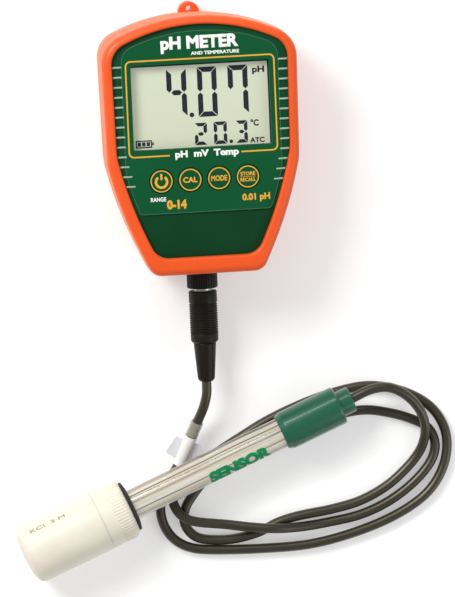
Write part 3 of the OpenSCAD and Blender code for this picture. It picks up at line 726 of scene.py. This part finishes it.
# ---- housing
def make_rear_shell():
    """The back half of the case: its back edge curls in, and a tab stands out of its top."""
    curl = [(4 - 4 * sin(radians(a)), FOOT - 4 * cos(radians(a))) for a in range(80, -1, -10)]
    rings = [(0, FOOT)] + curl + [(SPLIT_Z, 0)]
    shell = loft("rear_shell", [body_ring(z, depth) for z, depth in rings])
    pad = turned("socket_flat", [(0, 0), (8, 0, 0.4), (8, 2.4), (0, 2.4)], on_plug(BOTTOM_Y))
    tab_line = [Vector(p) for p in ((-TAB_R, 44.9), (TAB_R, 44.9))]
    tab_line += [Vector((TAB_R * cos(radians(a)), TAB_Y + TAB_R * sin(radians(a))))
            for a in range(0, 181, 10)]
    tab = loft("tab", [at_height(inset(tab_line, d), z) for z, d in
            ((2, -0.45), (2.13, -0.13), (2.45, 0), (6.55, 0), (6.87, -0.13), (7, -0.45))])
    cut(shell, pad, tab, how="UNION")
    hollow = loft("hollow", [body_ring(FLOOR, FOOT), body_ring(5, 4), body_ring(SPLIT_Z + 1, WALL)])
    cut(hollow, *[rod("boss", x, y, 0, 25, 3.4) for x, y in CASE_SCREWS])
    tools = [hollow, rod("tab_hole", 0, TAB_HOLE_Y, 0, 9, TAB_HOLE_R),
            turned("socket_hole", [(0, -1), (4.85, -1), (4.85, 8), (0, 8)], on_plug(BOTTOM_Y))]
    tools += [rod("screw_well", x, y, -1, 6, 2.6) for x, y in CASE_SCREWS]
    tools += [rod("screw_way", x, y, -1, 25, 1.5) for x, y in CASE_SCREWS]
    tools.append(slab("door_seat", rounded_box(-26.2, -26.6, 26.2, 39.4, 3.2), -1, 2.4))
    tools.append(slab("tray_way", rounded_box(-22.8, -18.8, 22.8, 31.6, 0.5), -1, 6))
    tools += [rod("door_screw_way", x, y, -1, 8, 1.25) for x, y in DOOR_SCREWS]
    fit(cut(shell, *tools), "meter", ORANGE, "orange_plastic", "rear_housing")


def make_bezel():
    """The front frame: its outer edge rolls over into a narrow lip that drops to the face."""
    outer, inner = polar(BODY_LINE), polar(inset(FACE_LINE, -0.1))
    roll, lip, under = 3.2, 0.95, 36.0

    def rim(z, share):
        """A ring between the outer outline and the opening, by its share of the width there."""
        return at_height([p.lerp(q, share((p - q).length)) for p, q in zip(outer, inner)], z)

    def rolled(a):
        return lambda width: min(roll, 0.8 * width) / width * (1 - cos(a))

    def back_from_opening(reach):
        return lambda width: max(0.0, 1 - reach / width)

    rings = [rim(SEAM_Z, lambda width: 0.0)]
    rings += [rim(TOP_Z - roll + roll * sin(radians(a)), rolled(radians(a))) for a in range(0, 91, 9)]
    rings += [rim(TOP_Z - lip * (1 - cos(radians(a))), back_from_opening(lip * (1 - sin(radians(a)))))
            for a in range(0, 91, 15)]
    rings += [rim(under, back_from_opening(0.0)), body_ring(under, WALL), body_ring(SEAM_Z, WALL)]
    bezel = loft("bezel", rings, closed=True)
    fit(bezel, "meter", ORANGE, "orange_plastic", "front_bezel", smooth=50)


def face_ways():
    """What goes through the face and its film: the window and the four keys."""
    ways = [slab("window_way", rounded_box(*WINDOW, WINDOW_CORNER), 30, 40)]
    return ways + [rod("key_way", x, KEY_Y, 30, 40, KEY_WAY, 64) for x in KEY_X]


def make_face():
    """The green moulding under the bezel, with its falling apron and its grip ribs."""
    def field(z, depth):
        """A ring of the field, which falls away below APRON_Y."""
        return [(x, y, z - 1.1 * max(0.0, min(1.0, (APRON_Y - y) / 17.0)) ** 0.8)
                for x, y, _ in face_ring(z, depth)]

    plate = loft("face_moulding", [
        body_ring(34.8, WALL + 0.05), body_ring(35.85, WALL + 0.05), face_ring(35.85, 0.05),
        field(36.85, 0.05), field(36.96, 0.1), field(FACE_Z, 0.25)])
    fit(cut(plate, *face_ways()), "meter", FACE_PLASTIC, "green_plastic", "face_plate")
    half_rib = 1.9
    corners = (-half_rib, -1), (half_rib, -1), (half_rib, 1), (-half_rib, 1)
    steps = (1, 0.4, 0), (1, 0.4, 0.32), (0.94, 0.24, 0.52), (0.88, 0.1, 0.58)
    rib = loft("rib", [[(x * long, y * wide, z) for x, y in corners] for long, wide, z in steps])
    places = []
    for i in range(13):
        y = 31.6 - 4 * i
        x = face_edge(y) - half_rib - 0.05
        places += [Matrix.Translation(Vector((s * x, y, FACE_Z)) * MM) for s in (-1, 1)]
    fit(joined("grip_ribs", copied(rib, places)), "meter", RIB_HIGHLIGHT_GREEN, "green_plastic")


def make_overlay():
    """The green panel on the face, with a pale line round its cut edge as a painted highlight."""
    top, side = 45.0, 31.5
    half = [(9, top - 0.55, 30), (18, top - 2.3, 30), (25, top - 4.6, 12), (28.6, top - 6.2, 8),
            (30.6, top - 8.2, 5), (side, top - 11, 5), (side, -9.5, 12), (31, -13.2, 30),
            (28.6, -21.5, 30), (26.6, -27.2, 1.2), (25.8, -28, 0.6)]
    corners = half + [(-x, y, r) for x, y, r in reversed(half)] + [(0, top, 60)]
    line = rounded(corners)
    film = loft("overlay_film", [at_height(polar(inset(line, d)), z) for z, d in
            ((FACE_Z, 0), (PRINT_Z - 0.08, 0), (PRINT_Z, 0.1))])
    fit(cut(film, *face_ways()), "meter", FILM, "green_plastic", "overlay_panel")
    # The pale band round the film's edge is a painted highlight.
    outer, inner = polar(inset(line, -0.06)), polar(inset(line, 0.16))
    edge = band("overlay_rim", outer, inner, FACE_Z, PRINT_Z + 0.01)
    fit(edge, "meter", FILM_EDGE_HIGHLIGHT, "green_plastic", smooth=0)


make_rear_shell()
make_bezel()
make_face()
make_overlay()


# ---- print, display and keys
def gold_frame():
    """The gold line round the window, open at the bottom for the words."""
    outer = rounded_box(-30.1, -5.0, 30.1, 34.0, 2.2)
    inner = rounded_box(-29.5, -4.4, 29.5, 33.4, 1.7)
    frame_line = band("window_line", outer, inner, PRINT_Z, PRINT_Z + 0.05)
    return cut(frame_line, slab("word_gap", rounded_box(-13.6, -7, 15.2, -3, 0.2), 36, 39))


def power_mark(x, y):
    """A ring open at the top, with a bar standing in the gap."""
    ring = []
    for radius, angles in ((2.75, range(55, -236, -6)), (1.75, range(-235, 56, 6))):
        ring += [Vector((x + radius * cos(radians(a)), y - 0.25 + radius * sin(radians(a))))
                for a in angles]
    bar = rounded_box(x - 0.42, y + 0.55, x + 0.42, y + 3.0, 0.15)
    return [slab("power_ring", ring, KEY_TOP, KEY_TOP + PRINT),
            slab("power_bar", bar, KEY_TOP, KEY_TOP + PRINT)]


def segment(name, outline):
    """One dark mark on the display's glass."""
    return slab(name, outline, GLASS_Z, GLASS_Z + SEGMENT)


def digit(name, box, strokes, width, gap):
    """A digit of an ordinary seven-part display, with strokes width wide and gap apart."""
    left, bottom, right, top = box
    wide, tall = right - left, top - bottom
    mid = tall / 2
    bar = [(gap, tall), (wide - gap, tall), (wide - width - gap, tall - width),
           (width + gap, tall - width)]
    post = [(0, tall - gap), (width, tall - width - gap), (width, mid + width * 0.5 + gap),
            (width / 2, mid + gap * 0.8), (0, mid + width * 0.5 + gap)]
    dash = [(width * 0.8 + gap, mid), (width * 1.3 + gap, mid + width / 2),
            (wide - width * 1.3 - gap, mid + width / 2), (wide - width * 0.8 - gap, mid),
            (wide - width * 1.3 - gap, mid - width / 2), (width * 1.3 + gap, mid - width / 2)]
    shapes = {"a": bar, "d": [(x, tall - y) for x, y in bar], "g": dash, "f": post,
            "b": [(wide - x, y) for x, y in post], "e": [(x, tall - y) for x, y in post],
            "c": [(wide - x, tall - y) for x, y in post]}
    return [segment(name + "_" + s, rounded([(left + x, bottom + y, 0.12) for x, y in shapes[s]], 2))
            for s in strokes]


def make_display():
    """The display's glass, its window and the marks that it shows."""
    dress(DISPLAY, "lcd_glass")
    dress(CLEAR_LENS, "window_lens")
    large, small = (2.05, 0.18), (1.4, 0.14)
    parts = []
    for name, box, strokes, stroke in (
            ("tens", (-13.3, 10.3, -5.3, 29.6), "fgbc", large),
            ("ones", (-0.9, 9.7, 6.9, 29.7), "abcdef", large),
            ("tenths", (11.4, 10.2, 19.4, 29.7), "afbc", large),
            ("low_tens", (-2.8, -1.6, 2.2, 7.3), "abged", small),
            ("low_ones", (4.9, -1.6, 10.2, 7.4), "abcdef", small),
            ("low_tenths", (13.7, -1.6, 18.5, 7.4), "abgcd", small)):
        parts += digit(name, box, strokes, *stroke)
    parts += [segment("point", circle(x, y, radius, 24))
            for x, y, radius in ((-3.6, 10.7, 0.95), (11.75, -0.8, 0.72))]
    parts.append(band("cell_case", rounded_box(-26.7, -1.6, -20.1, 1.5, 0.3),
            rounded_box(-26.2, -1.1, -20.6, 1.0, 0.2), GLASS_Z, GLASS_Z + SEGMENT))
    parts += [segment("cell_bar", rounded_box(left, -0.85, left + 1.35, 0.75, 0.1))
            for left in (-25.9, -24.1, -22.3)]
    # Painted shadow: dark strips along the glass's top and right edges stand in for the shade of the
    # window's recess.
    parts.append(segment("recess_shadow_strip", rounded_box(-28.2, 30.8, 28.2, 32.4, 0.1)))
    parts.append(segment("recess_shadow_strip", rounded_box(27.4, -2.6, 28.2, 30.9, 0.1)))
    parts.append(segment("cell_nub", rounded_box(-20.0, -0.6, -19.4, 0.6, 0.15)))
    parts += [lettering("unit", words, box, GLASS_Z, SEGMENT, 0.04)
            for words, box in (("pH", (21.3, 25.6, 26.2, 28.9)), ("°C", (19.8, 4.9, 23.1, 7.6)),
            ("ATC", (19.3, -1.8, 25.2, 0.3)))]
    fit(joined("display_segments", parts), "meter", SEGMENT_INK, "lcd", smooth=0)


def make_print():
    """The words on the panel, gold and white, with the gold line round the window."""
    gold = [gold_frame()]
    gold += [lettering(name, words, box, PRINT_Z, PRINT, heavy) for name, words, box, heavy in (
        ("range_words", "0-14", (-15.6, -26.4, -7.6, -22.6), 0.06),
        ("step_words", "0.01 pH", (14.8, -25.2, 26.0, -21.7), 0.045))]
    fit(joined("gold_print_lines", gold), "meter", GOLD_INK, "green_plastic", smooth=0)
    white = [lettering(name, words, box, PRINT_Z, PRINT, heavy) for name, words, box, heavy in (
        ("name_words", "pH METER", (-15.4, 36.1, 16.0, 42.9), 0.05),
        ("mode_words", "pH  mV  Temp", (-11.4, -6.6, 14.2, -3.0), 0.05),
        ("note_words", "AND TEMPERATURE", (-3.4, 35.1, 16.0, 36.5), 0.035),
        ("range_name", "RANGE", (-22.0, -23.0, -15.8, -21.3), 0.03))]
    fit(joined("white_print_words", white), "meter", WHITE_INK, "green_plastic", smooth=0)


def make_key(node, x, marks):
    """A round key, its top edge softened, with the gold ring and the marks printed on it."""
    cap = turned(node + "_cap", [(0, 33.7), (5.5, 33.7, 0.2), (5.5, 34.5, 0.15), (4.7, 34.5),
            (4.7, 37.55, 0.25), (0, 37.55)],
            Matrix.Translation(Vector((x, KEY_Y, 0)) * MM), 72)
    fit(cap, node + "_body", GREEN_KEY, "green_plastic", node)
    outer, inner = circle(x, KEY_Y, 4.42, 64), circle(x, KEY_Y, 3.98, 64)
    ring = band("key_ring", outer, inner, KEY_TOP, KEY_TOP + PRINT)
    fit(joined(node + "_mark", [ring] + marks), node + "_body", GOLD_INK, "green_plastic", smooth=0)


def make_keys():
    """The four keys in their row."""
    def word(name, x, half, low, high):
        """A key's word, from low to high of the keys' row."""
        box = (x - half, KEY_Y + low, x + half, KEY_Y + high)
        return lettering(name, name.upper(), box, KEY_TOP, PRINT, 0.035)

    power, cal, mode, recall = KEY_X
    make_key("key_power", power, power_mark(power, KEY_Y))
    make_key("key_cal", cal, [word("cal", cal, 2.9, -1.15, 1.15)])
    make_key("key_mode", mode, [word("mode", mode, 3.2, -1.1, 1.15)])
    store = word("store", recall, 3.0, 0.45, 2.0)
    rule = slab("rule", rounded_box(recall - 3.1, KEY_Y - 0.06, recall + 3.1, KEY_Y + 0.1, 0.02),
            KEY_TOP, KEY_TOP + PRINT)
    make_key("key_recall", recall, [store, rule, word("recall", recall, 3.1, -1.95, -0.45)])


make_display()
make_print()
make_keys()


# ---- plug
def fluted(radius, depth, flutes, z, sharp=1.0):
    """A ring whose radius dips into flutes."""
    count = flutes * 8
    ring = []
    for k in range(count):
        a = 2 * pi * k / count
        dip = depth * max(0.0, cos(a * flutes)) ** sharp
        ring.append(((radius - dip) * cos(a), (radius - dip) * sin(a), z))
    return ring


def make_plug():
    """The plug from its turning ring to its boot, and the socket's nose that it goes into."""
    profile = ((5.75, 0, 0), (6.1, 0.1, 0.2), (6.2, 0.26, 0.5), (6.2, 0.26, 5.9), (6.1, 0.1, 6.35),
            (5.8, 0, 6.6), (5.0, 0, 6.6), (5.0, 0, 1.0), (4.0, 0, 1.0), (4.0, 0, 0))
    ring = loft("knurled_ring", [fluted(r, dip, 36, z) for r, dip, z in profile], closed=True)
    ring.data.transform(on_plug(RING_Y))
    fit(ring, "ring", BLACK, "black_plastic", "coupling_ring", smooth=30)

    shell = [(3.2, -6), (3.7, -6, 0.2), (3.7, 2.5), (4.6, 2.5, 0.15), (4.6, 3.1, 0.15), (3.7, 3.1),
            (3.7, 13.2, 0.2), (3.2, 13.2)]
    fit(turned("plug_sleeve", shell, on_plug(SLEEVE_Y)), "lead", NICKEL, "steel", "plug_shell")

    body, root = 5.7, 5.22
    half = [(2.5, 0), (4.75, 0, 0.3), (5.55, 0.9, 0.5), (5.6, 3.9, 0.3), (root, 4.1)]
    for i in range(13):
        foot = 4.2 + i * 0.93
        half += [(root, foot - 0.02), (body, foot + 0.06, 0.12), (body, foot + 0.44, 0.12),
                (root, foot + 0.52)]
    half += [(root, 16.35), (body, 16.5, 0.15), (body, 21.15, 0.45), (3.75, 21.15), (3.75, 15.2),
            (2.5, 15.2)]
    grip = turned("ribbed_grip", half, on_plug(GRIP_END), 120, 3)
    fit(grip, "lead", BLACK, "black_plastic", "plug_grip", smooth=40)

    boot = [(2.05, 0), (2.6, 0, 0.3), (3.45, 1.0, 0.8), (4.55, 15.75, 0.4), (2.3, 15.75), (2.3, 6),
            (2.05, 6)]
    fit(turned("grip_tail", boot, on_plug(BOOT_END)), "lead", BLACK, "black_plastic", "plug_boot")

    nose = [(4.0, -6.6), (4.7, -6.6, 0.3), (4.7, -1.6), (6.1, -1.6, 0.3), (6.1, -0.05), (4.7, -0.05),
            (4.7, 12.4), (3.7, 12.4), (3.7, 9), (4.0, 9)]
    fit(turned("socket_nose", nose, on_plug(BOTTOM_Y)), "meter", BLACK, "black_plastic",
        "socket_body")


def along_lead(name, start, end, outer, inner):
    """A sleeve round the lead, from start to end; outer gives its radius by share of its length."""
    line, run, rings = smooth_route(ROUTE[:10], 0.5), 0.0, []
    for before, here in zip(line, line[1:]):
        run += (here - before).length
        if start <= run <= end:
            ahead = (here - before).normalized()
            side = ahead.cross(Vector((0, 0, 1))).normalized()
            rings.append((here, side, side.cross(ahead), outer((run - start) / (end - start))))

    def ring(here, side, up, radius):
        angles = [2 * pi * k / 48 for k in range(48)]
        return [here + radius * (cos(a) * side + sin(a) * up) for a in angles]

    skin = [ring(here, side, up, radius) for here, side, up, radius in rings]
    bore = [ring(here, side, up, inner) for here, side, up, _ in reversed(rings)]
    return loft(name, skin + bore, closed=True)


def make_lead_tags():
    """The clear sleeve, the paper label round the lead and its two thin wings."""
    start, end = Vector(ROUTE[3]), Vector(ROUTE[5])
    run = (end - start).normalized()
    place = (Matrix.Translation((start + 9.5 * run) * MM)
            @ Matrix.Rotation(atan2(run.y, run.x), 4, "Z") @ Matrix.Rotation(acos(run.z), 4, "Y"))
    bore = LEAD_R + 0.04
    sleeve = along_lead("heat_sleeve", 18.6, 25.2, lambda t: 2.58 + 0.08 * sin(9 * t), bore)
    fit(sleeve, "lead", CLEAR_SLEEVE, "clear_film", "clear_sleeve")
    label = along_lead("paper_label", 25.4, 39.6, lambda t: 2.62 - 0.34 * t ** 2, bore)
    fit(label, "lead", PAPER, "white_plastic", "id_label")
    wings = []
    for side in (-1, 1):
        outline = rounded([(2.5, 1.2, 0.3), (5.9, 1.0, 0.9), (7.0, 9.4, 0.9), (2.3, 10.2, 0.3)])
        wing = slab("wing", [Vector((p.x * side, p.y)) for p in outline], -0.09, 0.09)
        wing.data.transform(place @ Matrix(((0, 0, 1, 0), (1, 0, 0, 0), (0, 1, 0, 0), (0, 0, 0, 1))))
        wings.append(wing)
    fit(joined("label_wings", wings), "lead", FLAG_FILM, "clear_film", "label_flag")


# ---- electrode and bottle
def make_electrode():
    """The electrode: its green head, its slotted tube, and the stem, bulb and stop inside it."""
    def inner(name, corners, u, steps, finish, slot, node):
        """A piece on the stem's own axis, which lies beside the tube's."""
        fit(turned(name, corners, on_rod(u, STEM_SIDE), steps), "lead", finish, slot, node)

    head = [(6.32, -1.3, 0.15), (7.0, -1.3, 0.3), (8, 1.2, 0.5), (8, 25, 1.1), (5.3, 25, 0.5),
            (5.3, 30.6, 0.9), (0, 30.6), (0, 10), (6.32, 10)]
    fit(turned("electrode_head", head, on_rod(HEAD_U), 120), "lead", CAP_GREEN, "green_gloss",
        "electrode_cap")
    bore, end = TUBE_R - 1.2, TUBE_L - 0.05
    tube = turned("electrode_sheath", [(bore, 0, 0.3), (TUBE_R, 0, 0.5), (TUBE_R, end), (bore, end)],
            on_rod(TUBE_U), 120)
    slots = []
    for turn in (0, 90):
        slot = slab("slot", [Vector(p) for p in ((-9, -1.5), (9, -1.5), (9, 1.5), (-9, 1.5))], -1, 8)
        slot.data.transform(on_rod(TUBE_U) @ Matrix.Rotation(radians(turn), 4, "Z"))
        slots.append(slot)
    fit(cut(tube, *slots), "lead", CLEAR_TUBE, "clear_polycarbonate", "electrode_tube")
    words = lettering("tube_words", "SENSOR", (72.5, -6.8, 99.5, -0.7), 0.0, 0.06, 0.07)
    fit(wrapped(words, TUBE_R + 0.05, on_rod(TUBE_U)), "lead", TUBE_INK, "clear_polycarbonate",
        smooth=0)
    inner("glass_stem", [(2.8, 0), (3.5, 0, 0.3), (3.5, 104), (2.8, 104)], 16, 72, INNER_GLASS,
          "clear_polycarbonate", "inner_stem")
    ball = [(BULB_R * sin(radians(a)), -BULB_R * cos(radians(a))) for a in range(0, 139, 6)]
    inner("glass_ball", ball + [(0, ball[-1][1])], 12.5, 64, INNER_GLASS, "clear_polycarbonate",
          "glass_bulb")
    inner("stem_stop", [(0, 0), (2.75, 0, 0.5), (2.75, 6, 0.5), (0, 6)], 108.4, 64,
          DARK_RESIN, "black_epoxy", "stem_plug")


def make_bottle():
    """The storage bottle, its knurled cap and the seal round the tube."""
    bottle = [(0, -1.0), (7, -0.5, 6), (BOTTLE_R, 1.2, 4.2), (BOTTLE_R, 33.77, 0.1), (9.9, 33.77),
            (9.9, 43.1, 0.3), (8.4, 43.1), (8.4, 33.5, 1), (10.8, 30.5, 1), (10.6, 6, 3), (7, 1.6, 1),
            (0, 1.4)]
    fit(turned("soaker_bottle", bottle, on_rod(0), 128), "bottle", MILKY, "milky_plastic",
        "storage_bottle")
    words = lettering("fluid_words", "KCl  3 M", (5.5, 10.4, 21.0, 12.2), 0.0, 0.06, 0.02)
    fit(wrapped(words, BOTTLE_R, on_rod(0)), "bottle", SCALE_INK, "milky_plastic", smooth=0)

    rim = ((12.35, 0), (12.5, 0.06), (12.5, 0.4), (12.5, 4.9))
    knurl = ((12.25, 0.12, 5.4), (12.25, 0.28, 6.2), (12.2, 0.28, 9.4), (11.9, 0.26, 10.6),
            (11.3, 0.2, 11.5))
    inside = ((10.6, 12.1), (10.0, 12.3), (6.9, 12.3), (6.85, 11.6), (6.85, 11), (10.3, 11), (10.3, 0))
    rings = [fluted(r, 0, 60, z) for r, z in rim]
    rings += [fluted(r + lift, lift, 60, z, 0.6) for r, lift, z in knurl]
    rings += [fluted(r, 0, 60, z) for r, z in inside]
    cap = loft("soaker_cap", rings, closed=True)
    cap.data.transform(on_rod(CAP_U))
    fit(cap, "bottle_cap", MILKY, "milky_plastic", "storage_cap", smooth=30)
    seal = [(6.31, 0), (10.7, 0, 0.4), (10.3, 1.0, 0.5), (7.2, 1.7, 0.5), (6.31, 1.7)]
    fit(turned("soaker_seal", seal, on_rod(SEAL_U)), "seal", RUBBER, "seal_rubber", "cap_seal")


make_plug()
make_lead_tags()
make_electrode()
make_bottle()

# ---- parts that keep their own shape
dress(ORANGE, "battery_door")
dress(RUBBER, "case_gasket", "door_gasket")
dress(STEEL, "case_screws", "door_screws", "board_screws", "tact_switches", "socket_nut")
dress(NICKEL, "battery_contacts", "element_wires")
dress(GILT, "plug_pins")
for node_names, (title, colour, *touch) in INSIDE.items():
    dress(moulded(title, paint(*colour), *touch), *node_names)


# ---- table and light
def make_studio():
    """A pale table, lit softly from the left and the right."""
    deselect()
    bpy.ops.mesh.primitive_plane_add(size=6, location=(0, 0, -0.0003))
    floor = added("table_top")
    surface = Finish("pale_table", Specular_IOR_Level=0.2, Emission_Color=(1, 1, 1, 1),
            Emission_Strength=0.36)
    cloud = surface.grain(60, 2)
    surface.feed(Base_Color=surface.blend(cloud, paint(213, 213, 213), paint(217, 217, 217)),
            Roughness=0.8 + surface.grain(3, 2) * 0.1)
    floor.data.materials.append(surface.material)

    def lamp(name, place, wide, deep, watts, colour=(1, 1, 1), along=(0, 1, 0)):
        """A flat light that faces the object, its longer side along the given direction."""
        light = bpy.data.lights.new(name, "AREA")
        light.shape, light.size, light.size_y = "RECTANGLE", wide, deep
        light.energy, light.color = watts, colour
        back = (Vector(place) - Vector((0, -0.06, 0))).normalized()
        side = Vector(along).cross(back).normalized()
        holder = linked(bpy.data.objects.new(name, light))
        holder.matrix_world = (Matrix.Translation(place)
                @ Matrix((back.cross(side), side, back)).transposed().to_4x4())

    lean = radians(LEAN)
    lamp("key_light", (-1.0, 0.9, 1.15), 0.7, 0.7, 25, (1.0, 0.985, 0.96))
    lamp("fill_light", (1.3, -0.7, 1.0), 1.0, 1.0, 8)
    lamp("strip_light", (-0.33, 0.85, 0.85), 1.6, 0.12, 5, along=(cos(lean), sin(lean), 0))
    world = bpy.data.worlds.new("studio")
    world.use_nodes = True
    sky = world.node_tree.nodes["Background"].inputs
    sky["Color"].default_value, sky["Strength"].default_value = (1, 1, 1, 1), 0.45
    bpy.context.scene.world = world
    bpy.context.scene.view_settings.view_transform = "Standard"


make_studio()
